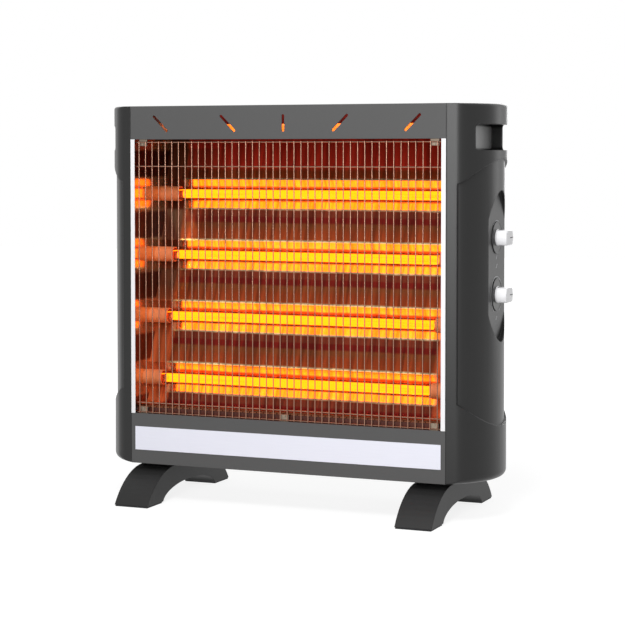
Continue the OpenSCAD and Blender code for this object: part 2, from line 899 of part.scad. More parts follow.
// closed case of the tip-over switch with the pendulum's pin across it
module tip_switch_case() {
    color("#d7d2c4") in_body() translate(tip_at) {
        difference() {
            cube(tip_size);
            translate([tip_wall, tip_wall, tip_wall]) cube(tip_size - 2 * tip_wall * [1, 1, 1]);
        }
        translate([tip_wall - tip_pin_in, tip_size[1] / 2, tip_pin_z])
            pin_x(tip_pin_r, tip_size[0] - 2 * (tip_wall - tip_pin_in));
    }
}

// swings about its pin when the heater tips forwards or backwards
module tip_pendulum() {
    pin_at = tip_at + [tip_size[0] / 2, tip_size[1] / 2, tip_pin_z];
    color("#8c8f93") in_body() translate(pin_at) difference() {
        union() {
            translate([-swing_w / 2, 0, 0]) pin_x(swing_eye_r, swing_w);
            translate([-swing_arm / 2, -swing_arm / 2, -swing_arm_l])
                cube([swing_arm, swing_arm, swing_arm_l - swing_arm_in]);
            translate([-swing_w / 2, 0, -swing_drop]) pin_x(swing_weight_r, swing_w);
        }
        translate([-swing_w / 2 - eps, 0, 0]) pin_x(tip_pin_r + spindle_gap, swing_w + 2 * eps);
    }
}

flange_r = cable_r + 7;
flange_t = 3;
sleeve_r = cable_r + 3.5;
sleeve_l = 6;
neck_r = cable_r + 3.8;
neck_in = sheet + 8;
neck_gap = 0.2;

module cable_gland() {
    color("#242527") in_body() translate([gland_x, body_d, gland_z]) difference() {
        union() {
            pin_y(flange_r, flange_t);
            translate([0, flange_t, 0]) pin_y(sleeve_r, sleeve_l);
            translate([0, -neck_in, 0]) pin_y(neck_r, neck_in + eps);
        }
        translate([0, -neck_in - eps, 0]) pin_y(cable_r, neck_in + flange_t + sleeve_l + 2 * eps);
    }
}

// ---- screws ----

module side_screws() {
    color("#a0a2a5") in_body() each_side() for (p = side_screw_at)
        translate([seam - sheet - head_t, p[0], p[1]]) {
            pin_x(head_r, head_t);
            pin_x(screw_r, head_t + sheet + side_screw_l);
        }
}

module back_screws() {
    color("#3c3d40") in_body() for (s = [-1, 1], z = back_screw_z)
        translate([s * (seam - sheet - fold_w / 2), body_d - back_screw_l, z]) {
            pin_y(screw_r, back_screw_l);
            translate([0, back_screw_l, 0]) pin_y(head_r, head_t);
        }
}

// ---- feet ----

function crest_z(y) = let (d = max(0, abs(y) - foot_flat / 2))
    foot_crest - foot_arc + sqrt(max(0, foot_arc * foot_arc - d * d));
function arch_z(y) = abs(y) < arch_l / 2 ? arch_h * sqrt(1 - pow(2 * y / arch_l, 2)) : 0;

foot_half = foot_flat / 2 + sqrt(pow(foot_arc, 2) - pow(foot_arc - foot_crest + pad_t, 2));
seat_l = 104;
seat_in = 3;
hollow_share = 0.72;
hollow_half = foot_flat / 2 + foot_run * hollow_share;
bolt_l = 12;
bolt_hole_l = 16;
bolt_room = 0.1;
bolt_head_r = head_r + 0.6;
pad_in = 1;
pad_set = 0.5;

// side view of a foot with its origin on the floor at mid depth
module foot_outline() {
    steps = 12;
    rise = [for (i = [0:steps])
        let (y = foot_flat / 2 + (foot_half - foot_flat / 2) * sin(90 * (1 - i / steps))) [-y, crest_z(y)]];
    arch = [for (i = [0:2 * steps]) let (a = 180 * i / (2 * steps))
        [arch_l / 2 * cos(a), max(pad_t, arch_h * sin(a))]];
    polygon(concat(rise, [for (i = [steps:-1:0]) [-rise[i][0], rise[i][1]]], arch));
}

// hollow under the casing, a wall's thickness inside the outline
module foot_hollow() {
    steps = 10;
    ys = [for (i = [-steps:steps]) hollow_half * i / steps];
    top = [for (y = ys) [y, crest_z(y) - foot_wall]];
    low = [for (k = [len(ys) - 1:-1:0]) [ys[k], max(arch_z(ys[k]), pad_t) + foot_wall]];
    polygon(concat(top, low));
}

module foot() {
    difference() {
        union() {
            along_x(foot_w) foot_outline();
            translate([-foot_w / 2 + seat_in, -seat_l / 2, foot_crest - eps])
                cube([foot_w - 2 * seat_in, seat_l, foot_h - foot_crest + eps]);
        }
        difference() {
            union() {
                along_x(foot_w - 2 * foot_wall) foot_hollow();
                translate([seat_in + foot_wall - foot_w / 2, foot_wall - seat_l / 2,
                    foot_crest - 2 * foot_wall])
                    cube([foot_w - 2 * seat_in - 2 * foot_wall, seat_l - 2 * foot_wall, foot_h]);
            }
            for (s = [-1, 1]) translate([0, s * foot_post, 0]) cylinder(h = foot_h, r = post_r, $fn = 48);
        }
        for (s = [-1, 1]) translate([0, s * foot_post, foot_h - bolt_hole_l])
            cylinder(h = bolt_hole_l + eps, r = bolt_r + bolt_room, $fn = 32);
    }
}

module foot_left() {
    color("#3f4144") translate([-foot_x - shift_x, 0, 0]) foot();
}

module foot_right() {
    color("#3f4144") translate([foot_x - shift_x, 0, 0]) foot();
}

module foot_pads() {
    color("#1c1d1f") translate([-shift_x, 0, 0]) for (s = [-1, 1], t = [-1, 1])
        translate([s * foot_x - foot_w / 2 + pad_in, t * (foot_half - sole_l / 2 - pad_set) - sole_l / 2, 0])
            cube([foot_w - 2 * pad_in, sole_l, pad_t]);
}

module foot_screws() {
    color("#a0a2a5") in_body() for (s = [-1, 1], t = [-1, 1])
        translate([s * foot_x, mid_y + t * foot_post, -bolt_l]) {
            cylinder(h = bolt_l + sheet, r = bolt_r, $fn = 32);
            translate([0, 0, bolt_l + sheet]) cylinder(h = head_t, r = bolt_head_r, $fn = 32);
        }
}

front_frame();
top_cover();
bottom_tray();
back_panel();
end_frame_left();
end_frame_right();
window_trim_left();
window_trim_right();
front_strip();
side_panel_left();
side_panel_right();
wire_guard();
guard_clips();
guard_screws();
reflector();
reflector_cheek_left();
reflector_cheek_right();
quartz_tube_1();
quartz_tube_2();
quartz_tube_3();
quartz_tube_4();
heating_coil_1();
heating_coil_2();
heating_coil_3();
heating_coil_4();
end_caps_left();
end_caps_right();
tube_terminals();
bus_lead_left();
bus_lead_right();
rotary_switch_upper();
rotary_switch_lower();
switch_nuts();
switch_leads();
spindle_upper();
knob_skirt_upper();
knob_grip_upper();
spindle_lower();
knob_skirt_lower();
knob_grip_lower();
thermal_cutout();
terminal_block();
tip_switch_case();
tip_pendulum();
cable_gland();
side_screws();
back_screws();
foot_left();
foot_right();
foot_pads();
foot_screws();
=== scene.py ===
import math

import bmesh
import bpy
from mathutils import Matrix, Vector


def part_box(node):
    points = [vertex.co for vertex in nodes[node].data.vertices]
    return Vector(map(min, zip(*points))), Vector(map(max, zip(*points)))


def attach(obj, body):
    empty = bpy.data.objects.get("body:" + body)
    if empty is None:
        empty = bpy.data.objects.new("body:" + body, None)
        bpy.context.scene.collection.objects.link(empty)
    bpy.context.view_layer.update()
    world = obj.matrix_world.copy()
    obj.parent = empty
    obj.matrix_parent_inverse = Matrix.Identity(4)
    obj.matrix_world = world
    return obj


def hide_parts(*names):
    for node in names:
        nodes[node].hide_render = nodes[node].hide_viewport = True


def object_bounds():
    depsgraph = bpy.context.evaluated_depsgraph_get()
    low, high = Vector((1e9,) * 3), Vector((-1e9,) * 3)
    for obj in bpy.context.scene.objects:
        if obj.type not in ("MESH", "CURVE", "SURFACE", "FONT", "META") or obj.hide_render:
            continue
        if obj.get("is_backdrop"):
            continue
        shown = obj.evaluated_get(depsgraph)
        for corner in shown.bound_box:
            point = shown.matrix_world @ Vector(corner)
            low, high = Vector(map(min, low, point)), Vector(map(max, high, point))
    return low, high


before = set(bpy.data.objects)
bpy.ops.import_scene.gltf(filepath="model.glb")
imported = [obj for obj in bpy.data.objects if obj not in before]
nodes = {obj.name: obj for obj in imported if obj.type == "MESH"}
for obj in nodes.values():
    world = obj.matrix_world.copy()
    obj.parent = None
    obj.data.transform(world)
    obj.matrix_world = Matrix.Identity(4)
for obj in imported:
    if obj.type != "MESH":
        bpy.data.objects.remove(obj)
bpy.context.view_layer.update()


# ---- Camera ----
# A long lens from the front right, a little above the heater's middle. Its place, turn and tilt were fitted
# to the corners of the front panel and of the feet; the picture is square, 625 pixels a side.
picture_px = 625
sensor_mm = 36
focal_px = 1892
axis_row_px = 230
camera_at = (1.01627, -2.41199, 0.48576)
camera_yaw = math.radians(22.72)
camera_pitch = math.radians(2.33)


def put_in_scene(name, data):
    """Adds an object that shows the given mesh, curve, lamp or camera."""
    made = bpy.data.objects.new(name, data)
    bpy.context.scene.collection.objects.link(made)
    return made


camera_data = bpy.data.cameras.new("camera")
camera_data.sensor_width = sensor_mm
camera_data.lens = focal_px / picture_px * sensor_mm
camera_data.shift_y = (axis_row_px - picture_px / 2) / picture_px
camera = put_in_scene("camera", camera_data)
camera.location = camera_at
camera.rotation_euler = (math.radians(90) - camera_pitch, 0, camera_yaw)
bpy.context.scene.camera = camera
bpy.context.scene.view_settings.view_transform = "Standard"


# ---- Studio ----
# A white sweep with soft boxes round it: one high and one tall and narrow in front, and two behind that draw
# the bulge's far edge. Nothing stands at the left, so the left front strip and the bulge's front stay dark.
def linear(code):
    """An sRGB hex colour as linear red, green, blue and alpha."""
    parts = [int(code[i:i + 2], 16) / 255 for i in (1, 3, 5)]
    return tuple(c / 12.92 if c <= 0.04045 else ((c + 0.055) / 1.055) ** 2.4 for c in parts) + (1,)


def add(tree, kind, inputs=None, **settings):
    """Adds a node; settings name its properties or inputs, inputs holds links or numbers by name or place."""
    made = tree.nodes.new("ShaderNode" + kind)
    for key, value in settings.items():
        if hasattr(made, key):
            setattr(made, key, value)
        else:
            made.inputs[key.replace("_", " ")].default_value = value
    for key, source in (inputs or {}).items():
        if isinstance(source, bpy.types.NodeSocket):
            tree.links.new(source, made.inputs[key])
        else:
            made.inputs[key].default_value = source
    return made


def seen_as_background(tree):
    """1 for the camera and for what metal and glass show, and 0 for the light that falls on the heater."""
    path = add(tree, "LightPath")
    shown = add(tree, "Math", {0: path.outputs["Is Camera Ray"], 1: path.outputs["Is Glossy Ray"]},
                operation="MAXIMUM")
    return add(tree, "Math", {0: shown.outputs[0], 1: path.outputs["Is Transmission Ray"]},
               operation="MAXIMUM").outputs[0]


white = linear("#ffffff")
ambient = 0.42

world = bpy.data.worlds.new("studio")
world.use_nodes = True
bpy.context.scene.world = world
tree = world.node_tree
tree.nodes.clear()
room = add(tree, "Background", Color=white, Strength=ambient)
sweep = add(tree, "Background", Color=white, Strength=1)
both = add(tree, "MixShader", {0: seen_as_background(tree), 1: room.outputs[0], 2: sweep.outputs[0]})
add(tree, "OutputWorld", {"Surface": both.outputs[0]})

floor_half = 6
near_glow = 0.84
near_floor = 0.35
far_floor = 1.1
floor_mesh = bpy.data.meshes.new("floor")
floor_corners = [(-1, -1), (1, -1), (1, 1), (-1, 1)]
floor_mesh.from_pydata([(x * floor_half, y * floor_half, 0) for x, y in floor_corners], [], [(0, 1, 2, 3)])
floor = put_in_scene("floor", floor_mesh)
floor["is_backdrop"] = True
# the camera, metal and glass see paper that keeps the heater's shadow and glows up to white further out; the
# light that falls back on the heater comes off a plain grey floor
paper = bpy.data.materials.new("white paper sweep")
paper.use_nodes = True
tree = paper.node_tree
tree.nodes.clear()
bounce = add(tree, "BsdfDiffuse", Color=linear("#a4a4a4"))
shadowed = add(tree, "BsdfDiffuse", Color=linear("#8c8c8c"))
place = add(tree, "TexCoord")
away = add(tree, "VectorMath", {0: place.outputs["Object"]}, operation="LENGTH")
fade = add(tree, "MapRange", {"Value": away.outputs["Value"]}, From_Min=near_floor, From_Max=far_floor,
           To_Min=near_glow, To_Max=1)
glow = add(tree, "Emission", {"Strength": fade.outputs[0]}, Color=white)
lit = add(tree, "AddShader", {0: shadowed.outputs[0], 1: glow.outputs[0]})
both = add(tree, "MixShader", {0: seen_as_background(tree), 1: bounce.outputs[0], 2: lit.outputs[0]})
add(tree, "OutputMaterial", {"Surface": both.outputs[0]})
floor_mesh.materials.append(paper)


def soft_box(name, at, aim, size, watts):
    """An area lamp of the given width and height at a place, turned towards a point."""
    lamp = bpy.data.lights.new(name, "AREA")
    lamp.shape = "RECTANGLE"
    lamp.size, lamp.size_y = size
    lamp.energy = watts
    box = put_in_scene(name, lamp)
    box.location = at
    box.rotation_euler = (Vector(aim) - Vector(at)).to_track_quat("-Z", "Y").to_euler()


heater_middle = (0, 0, 0.3)
upper_half = (0, 0, 0.4)
soft_box("key", (0.25, -1.05, 1.5), upper_half, (0.6, 0.5), 12)
soft_box("front", (0.46, -2.3, 0.75), heater_middle, (0.4, 1.1), 25)
soft_box("far corner", (1.84, 1.84, 0.9), heater_middle, (0.7, 1.7), 8)
soft_box("back", (-0.1, 2.6, 0.9), heater_middle, (0.7, 1.7), 12)


# ---- Casing sheets ----
# Front panel, top cover, tray and back panel are cut from 1.5 mm steel sheet and powder coated; the front
# panel's edges are folded. Powder coat is satin, with a fine orange-peel skin, and rounds the cut edges.
def start_material(name, **sockets):
    """A new node material with its shader's own sockets set; gives it, its tree and its shader."""
    made = bpy.data.materials.new(name)
    made.use_nodes = True
    shader = made.node_tree.nodes["Principled BSDF"]
    for key, value in sockets.items():
        shader.inputs[key.replace("_", " ")].default_value = value
    return made, made.node_tree, shader


def shaded(code, share):
    """A hex colour made darker or lighter, as linear values."""
    return tuple(c * share for c in linear(code)[:3]) + (1,)


def skinned(name, tint, roughness, grain_mm, depth_mm, edge_mm, spread, gloss=0.5, metal=0, patch_mm=111):
    """A material with bumps of the grain's size, rounded edges and patches of slightly different tint."""
    made, tree, shader = start_material(name, Roughness=roughness, Specular_IOR_Level=gloss, Metallic=metal)
    place = add(tree, "TexCoord")
    skin = add(tree, "TexNoise", {"Vector": place.outputs["Object"]}, Scale=1000 / grain_mm, Detail=3)
    cloud = add(tree, "TexNoise", {"Vector": place.outputs["Object"]}, Scale=1000 / patch_mm, Detail=4)
    edge = add(tree, "Bevel", Radius=edge_mm / 1000, samples=4)
    bump = add(tree, "Bump", {"Height": skin.outputs["Fac"], "Normal": edge.outputs[0]},
               Distance=depth_mm / 1000)
    ramp = add(tree, "ValToRGB", {"Fac": cloud.outputs["Fac"]})
    ramp.color_ramp.elements[0].color = shaded(tint, 1 - spread)
    ramp.color_ramp.elements[1].color = shaded(tint, 1 + spread)
    tree.links.new(ramp.outputs[0], shader.inputs["Base Color"])
    tree.links.new(bump.outputs[0], shader.inputs["Normal"])
    return made


def dress(material, *names):
    """Gives carried-over CAD nodes a material in place of their plain one."""
    for name in names:
        nodes[name].data.materials.clear()
        nodes[name].data.materials.append(material)


# the top lies flat above the warm air and has gone dull; the other sheets keep their sheen
for name, roughness, gloss, sheets in (
        ("powder-coated steel, anthracite", 0.42, 0.3, ("front_frame", "bottom_tray", "back_panel")),
        ("powder-coated steel, gone dull", 0.8, 0.02, ("top_cover",))):
    coat = skinned(name, "#505050", roughness, grain_mm=1.6, depth_mm=0.02, edge_mm=0.7, spread=0.03,
                   gloss=gloss)
    dress(coat, *sheets)


# ---- Side panels ----
# Injection-moulded heat-resistant plastic, through-coloured, screwed on from inside. The mould's fine
# spark texture gives a soft sheen, strongest where the bulge turns away; outer edges have a small radius.
moulded = skinned("moulded plastic, dark grey", "#1b1b1b", 0.34, grain_mm=0.8, depth_mm=0.015, edge_mm=2.4,
                  spread=0.03, gloss=0.33)
dress(moulded, "side_panel_left", "side_panel_right")


# ---- Grip pocket pads ----
# A flat mid-grey pad with rounded corners lines the inner wall of each hand grip, lighter and glossier
# than the spark-textured panel round it; its light grey is a painted light on that wall.
liner_len, liner_h, liner_t = 0.111, 0.030, 0.0008
liner_corner, liner_edge = 0.004, 0.0003
pocket_mid_z = 0.5066
pocket_depth = 0.019


def rounded_pad(x, mid_z, length, height, corner, steps=6):
    """The outline of a flat pad across the X axis, with rounded corners."""
    ring = []
    for side_y, side_z, turn in ((1, 1, 0), (-1, 1, 90), (-1, -1, 180), (1, -1, 270)):
        inner_y = side_y * (length / 2 - corner)
        inner_z = mid_z + side_z * (height / 2 - corner)
        for i in range(steps + 1):
            a = math.radians(turn + 90 * i / steps)
            ring.append((x, inner_y + corner * math.cos(a), inner_z + corner * math.sin(a)))
    return ring


def extruded(name, outline, lift):
    """A closed mesh over a flat outline of points, as thick as lift."""
    made = bmesh.new()
    face = made.faces.new([made.verts.new(point) for point in outline])
    grown = bmesh.ops.extrude_face_region(made, geom=[face])["geom"]
    lifted = [part for part in grown if isinstance(part, bmesh.types.BMVert)]
    bmesh.ops.translate(made, vec=lift, verts=lifted)
    bmesh.ops.recalc_face_normals(made, faces=made.faces)
    mesh = bpy.data.meshes.new(name)
    made.to_mesh(mesh)
    made.free()
    return mesh


def round_edges(piece, width, segments, sharper_than=40):
    """Rounds the edges that are sharper than an angle in degrees."""
    soften = piece.modifiers.new("edges", "BEVEL")
    soften.width = width
    soften.segments = segments
    soften.limit_method = "ANGLE"
    soften.angle_limit = math.radians(sharper_than)


light_pad_plastic = skinned("smooth plastic, mid grey, painted light", "#8a8a8a", 0.3, grain_mm=2, depth_mm=0.01, edge_mm=0.3,
                        spread=0.03)
frame_low, frame_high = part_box("front_frame")
for side, near in (("left", frame_low.x - pocket_depth - liner_t), ("right", frame_high.x + pocket_depth)):
    outline = rounded_pad(near, pocket_mid_z, liner_len, liner_h, liner_corner)
    liner = put_in_scene("grip_light_pad_" + side, extruded("grip_light_pad_" + side, outline, (liner_t, 0, 0)))
    round_edges(liner, liner_edge, segments=3)
    liner.data.materials.append(light_pad_plastic)
    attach(liner, "housing")


# ---- Bright trim ----
# Two narrow strips beside the window and one long blank strip on the lower band: brushed aluminium under a
# satin silver-white lacquer, stuck on. The lacquer scatters much of the light, so they look nearly white.
along_x, along_z = 0, 2


def brushed(name, tint, roughness, along, grain_mm, metal=1, scratch_stretch=60, edge_mm=0.3, depth_mm=0.01):
    """A metal with fine, slightly darker scratches, grain_mm apart and stretched along an axis."""
    made, tree, shader = start_material(name, Roughness=roughness, Metallic=metal)
    place = add(tree, "TexCoord")
    scale = [1000 / grain_mm] * 3
    scale[along] /= scratch_stretch
    spread_out = add(tree, "Mapping", {"Vector": place.outputs["Object"]}, Scale=scale)
    lines = add(tree, "TexNoise", {"Vector": spread_out.outputs[0]}, Scale=1, Detail=2)
    ramp = add(tree, "ValToRGB", {"Fac": lines.outputs["Fac"]})
    ramp.color_ramp.elements[0].color = shaded(tint, 0.93)
    ramp.color_ramp.elements[1].color = linear(tint)
    edge = add(tree, "Bevel", Radius=edge_mm / 1000, samples=4)
    bump = add(tree, "Bump", {"Height": lines.outputs["Fac"], "Normal": edge.outputs[0]},
               Distance=depth_mm / 1000)
    tree.links.new(ramp.outputs[0], shader.inputs["Base Color"])
    tree.links.new(bump.outputs[0], shader.inputs["Normal"])
    return made


# real brushing is finer than 0.2 mm; it is drawn at 0.6 mm so that it stays visible
strip_grain_mm = 0.625
lacquered = 0.2
upright = brushed("lacquered aluminium, upright grain", "#ececee", 0.45, along_z, strip_grain_mm, lacquered)
lengthwise = brushed("lacquered aluminium, lengthwise grain", "#e6e7f2", 0.45, along_x, strip_grain_mm,
                     lacquered)
dress(upright, "window_trim_left", "window_trim_right")
dress(lengthwise, "front_strip")


# ---- Guard ----
# Drawn steel wire, spot-welded where the wires cross and bright chromium plated, held by pressed steel
# tabs behind the window's edge. Their dull orange-brown colour is painted: a painted reflection of the
# tubes' orange, and painted shade that keeps them dimmer than bare chrome.
zinc_grain_mm = 1.11
haze_mm = 6.25
wire_painted_orange, tree, shader = start_material("chromium-plated wire, painted orange reflection", Base_Color=linear("#94705f"), Metallic=1)
place = add(tree, "TexCoord")
haze = add(tree, "TexNoise", {"Vector": place.outputs["Object"]}, Scale=1000 / haze_mm, Detail=3)
rough = add(tree, "MapRange", {"Value": haze.outputs["Fac"]}, To_Min=0.14, To_Max=0.26)
tree.links.new(rough.outputs[0], shader.inputs["Roughness"])
dress(wire_painted_orange, "wire_guard")
browned_zinc = brushed("galvanised steel, browned by heat", "#8d7f70", 0.5, along_x, zinc_grain_mm)
dress(browned_zinc, "guard_clips", "guard_screws")


# ---- Frames and fixings ----
# End frames of folded galvanised sheet carry the tubes and the side panels; nuts, hidden screws, spindles,
# the cut-out's can and the tip-over pendulum are zinc plated too. Zinc is pale, grey and softly reflecting.
zinc = brushed("galvanised steel", "#b9bbbe", 0.4, along_x, zinc_grain_mm)
dress(zinc, "end_frame_left", "end_frame_right", "switch_nuts", "thermal_cutout",
      "side_screws", "foot_screws", "tip_pendulum", "spindle_upper", "spindle_lower")


# ---- Reflector ----
# Thin aluminium sheet, pressed into one trough behind each tube and polished, with a flat cheek at each end
# and a rolled hem at the lower front edge. Pale straw bands where the tubes shine in are a painted reflection
# of the glowing coils, and the dark red-brown between the troughs is painted shade with the tubes' red glow.
# It is orange-brown behind the tubes, orange at the ends by the caps, and darker in the upper left corner.
tube_names = [f"quartz_tube_{i}" for i in (1, 2, 3, 4)]
tube_levels = sorted((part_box(name)[0].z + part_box(name)[1].z) / 2 for name in tube_names)
tube_pitch = (tube_levels[-1] - tube_levels[0]) / (len(tube_levels) - 1)
mirror_low, mirror_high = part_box("reflector")
ripple_mm = (38.5, 200, 200)
ripple_depth = 0.0005
streak_mm = (7.7, 500, 143)
band_wander = 0.003
land_from, land_to = tube_levels[-1] + 0.032, tube_levels[-1] + 0.038
brow_h, brow_blend = 0.0128, 0.001
caps_from, caps_to = 0.196, 0.204
soot_from, soot_to = -0.11, -0.165
# height from the tube's axis in mm, painted colour (straw for the coils' reflection, red-brown for shade),
# and how mirror-like the sheet still is there
glow_and_shade_tints = [(-42, "#7a4222", 0.5), (-39, "#6a1a12", 0.5), (-33, "#6a1a12", 0.5), (-31, "#6e3220", 0.5),
              (-23, "#6e3220", 0.5), (-20, "#f8ecb0", 0.95), (-12, "#f8ecb0", 0.95), (-9, "#a85028", 0.7),
              (9, "#a85028", 0.7), (12, "#f8ecb0", 0.95), (20, "#f8ecb0", 0.95), (23, "#98421e", 0.5),
              (34, "#8c3c1c", 0.5), (42, "#7a4222", 0.5)]

mirror, tree, shader = start_material("polished aluminium, painted glow and shade", Roughness=0.16,
                                      Specular_IOR_Level=0.1)
place = add(tree, "TexCoord")
axes = add(tree, "SeparateXYZ", {0: place.outputs["Object"]})
squash = add(tree, "Mapping", {"Vector": place.outputs["Object"]}, Scale=[1000 / mm for mm in ripple_mm])
ripple = add(tree, "TexNoise", {"Vector": squash.outputs[0]}, Scale=1, Detail=3)
draw_out = add(tree, "Mapping", {"Vector": place.outputs["Object"]}, Scale=[1000 / mm for mm in streak_mm])
streaks = add(tree, "TexNoise", {"Vector": draw_out.outputs[0]}, Scale=1, Detail=2)

# the bands repeat with every tube and wander a little up and down
wander = add(tree, "Math", {0: ripple.outputs["Fac"], 1: band_wander, 2: axes.outputs["Z"]},
             operation="MULTIPLY_ADD")
lowest = tube_levels[0] - tube_pitch / 2 + band_wander / 2
above = add(tree, "Math", {0: wander.outputs[0], 1: lowest}, operation="SUBTRACT")
step = add(tree, "Math", {0: above.outputs[0], 1: tube_pitch}, operation="MODULO")
share = add(tree, "Math", {0: step.outputs[0], 1: tube_pitch}, operation="DIVIDE")
ramp = add(tree, "ValToRGB", {"Fac": share.outputs[0]})
stops = ramp.color_ramp.elements
while len(stops) < len(glow_and_shade_tints):
    stops.new(1)
for stop, (height_mm, tint, mirror_share) in zip(stops, glow_and_shade_tints):
    stop.position = 0.5 + height_mm / 1000 / tube_pitch
    stop.color = linear(tint)[:3] + (mirror_share,)

# the land above the top tube is painted maroon, a painted red glow of the tubes, and the ends behind the
# caps are orange
top_land = add(tree, "MapRange", {"Value": axes.outputs["Z"]}, From_Min=land_from, From_Max=land_to)
maroon = add(tree, "MixRGB", {"Fac": top_land.outputs[0], "Color1": ramp.outputs["Color"]},
             Color2=linear("#a82a1c"))
from_middle = add(tree, "Math", {0: axes.outputs["X"], 1: (mirror_low.x + mirror_high.x) / 2},
                  operation="SUBTRACT")
aside = add(tree, "Math", {0: from_middle.outputs[0]}, operation="ABSOLUTE")
near_caps = add(tree, "MapRange", {"Value": aside.outputs[0]}, From_Min=caps_from, From_Max=caps_to)
orange_ends = add(tree, "MixRGB", {"Fac": near_caps.outputs[0], "Color1": maroon.outputs[0]},
                Color2=linear("#c25a30"))

# the upper left corner is darker between the bright bands and behind the caps
leftward = add(tree, "MapRange", {"Value": axes.outputs["X"]}, From_Min=soot_from, From_Max=soot_to)
upward = add(tree, "MapRange", {"Value": axes.outputs["Z"]}, From_Min=tube_levels[0], From_Max=tube_levels[2])
upper_left = add(tree, "Math", {0: leftward.outputs[0], 1: upward.outputs[0]}, operation="MULTIPLY")
off_band = add(tree, "Math", {0: upper_left.outputs[0], 1: ramp.outputs["Alpha"]}, operation="SUBTRACT",
               use_clamp=True)
upper_left_dark = add(tree, "Math", {0: upper_left.outputs[0], 1: near_caps.outputs[0], 2: off_band.outputs[0]},
            operation="MULTIPLY_ADD", use_clamp=True)
darkened_upper_left = add(tree, "MixRGB", {"Fac": upper_left_dark.outputs[0], "Color1": orange_ends.outputs[0]},
                   Color2=linear("#4e2414"))

# the brow along the top edge is painted pale cream, a painted light from the tubes' glow; polishing streaks
# run down the whole sheet
brow_at = mirror_high.z - brow_h
brow = add(tree, "MapRange", {"Value": axes.outputs["Z"]}, From_Min=brow_at - brow_blend, From_Max=brow_at)
brow_painted_light = add(tree, "MixRGB", {"Fac": brow.outputs[0], "Color1": darkened_upper_left.outputs[0]},
                  Color2=linear("#fff4dc"))
streak = add(tree, "MapRange", {"Value": streaks.outputs["Fac"]}, From_Min=0.35, From_Max=0.62,
             To_Min=0.55, To_Max=1.05)
tinted = add(tree, "VectorMath", {0: brow_painted_light.outputs[0], "Scale": streak.outputs[0]}, operation="SCALE")
tree.links.new(tinted.outputs[0], shader.inputs["Base Color"])

# the painted top land and the ends by the caps are made less mirror-like, the brow more
covered = add(tree, "Math", {0: top_land.outputs[0], 1: near_caps.outputs[0]}, operation="MAXIMUM")
plain = add(tree, "Math", {0: brow.outputs[0], 1: covered.outputs[0]}, operation="SUBTRACT")
polish = add(tree, "Math", {0: plain.outputs[0], 1: ramp.outputs["Alpha"], 2: ramp.outputs["Alpha"]},
             operation="MULTIPLY_ADD")
tree.links.new(polish.outputs[0], shader.inputs["Metallic"])
bump = add(tree, "Bump", {"Height": ripple.outputs["Fac"]}, Distance=ripple_depth)
tree.links.new(bump.outputs[0], shader.inputs["Normal"])
dress(mirror, "reflector")

# the cheeks are painted bright straw beside the tubes, a painted glow, and painted brown shade between them
cheek_patch_mm = 33.3
brown_from, brown_to = 0.022, 0.026
cheek_sheet, tree, shader = start_material("aluminium cheek, painted glow and shade", Metallic=0.9, Roughness=0.12)
place = add(tree, "TexCoord")
cloud = add(tree, "TexNoise", {"Vector": place.outputs["Object"]}, Scale=1000 / cheek_patch_mm, Detail=4)
ramp = add(tree, "ValToRGB", {"Fac": cloud.outputs["Fac"]})
ramp.color_ramp.elements[0].color = linear("#f0c088")
ramp.color_ramp.elements[1].color = linear("#fad098")
axes = add(tree, "SeparateXYZ", {0: place.outputs["Object"]})
above = add(tree, "Math", {0: axes.outputs["Z"], 1: tube_levels[0]}, operation="SUBTRACT")
off_tube = add(tree, "Math", {0: above.outputs[0], 1: tube_pitch / 2}, operation="PINGPONG")
between = add(tree, "MapRange", {"Value": off_tube.outputs[0]}, From_Min=brown_from, From_Max=brown_to)
browned = add(tree, "MixRGB", {"Fac": between.outputs[0], "Color1": ramp.outputs[0]},
              Color2=linear("#7c4830"))
tree.links.new(browned.outputs[0], shader.inputs["Base Color"])
dress(cheek_sheet, "reflector_cheek_left", "reflector_cheek_right")

# the hood carries on from the brow's upper edge to the top cover and shows through the slots; its red is a
# painted glow of the tubes. The apron hangs behind the hem, down to the tray
sheet_t = 0.0008
edge_band = 0.002
apron_forward = 0.001
reflector_points = [nodes["reflector"].matrix_world @ v.co for v in nodes["reflector"].data.vertices]
hood_y = min(point.y for point in reflector_points if point.z > mirror_high.z - edge_band)
hood_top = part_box("top_cover")[0].z - sheet_t
apron_y = mirror_low.y - apron_forward
apron_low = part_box("bottom_tray")[1].z + sheet_t
for name, y, low_z, high_z, finish, tint in (
        ("reflector_hood", hood_y, mirror_high.z, hood_top, "steel sheet, painted red glow", "#a8281c"),
        ("reflector_apron", apron_y, apron_low, mirror_low.z, "steel sheet, browned by heat", "#54200f")):
    outline = [(mirror_low.x, y, low_z), (mirror_high.x, y, low_z),
               (mirror_high.x, y, high_z), (mirror_low.x, y, high_z)]
    sheet = put_in_scene(name, extruded(name, outline, (0, sheet_t, 0)))
    sheet.data.materials.append(skinned(finish, tint, 0.5, grain_mm=1.5, depth_mm=0.02, edge_mm=0.3,
                                        spread=0.1, metal=0.2))
    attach(sheet, "housing")

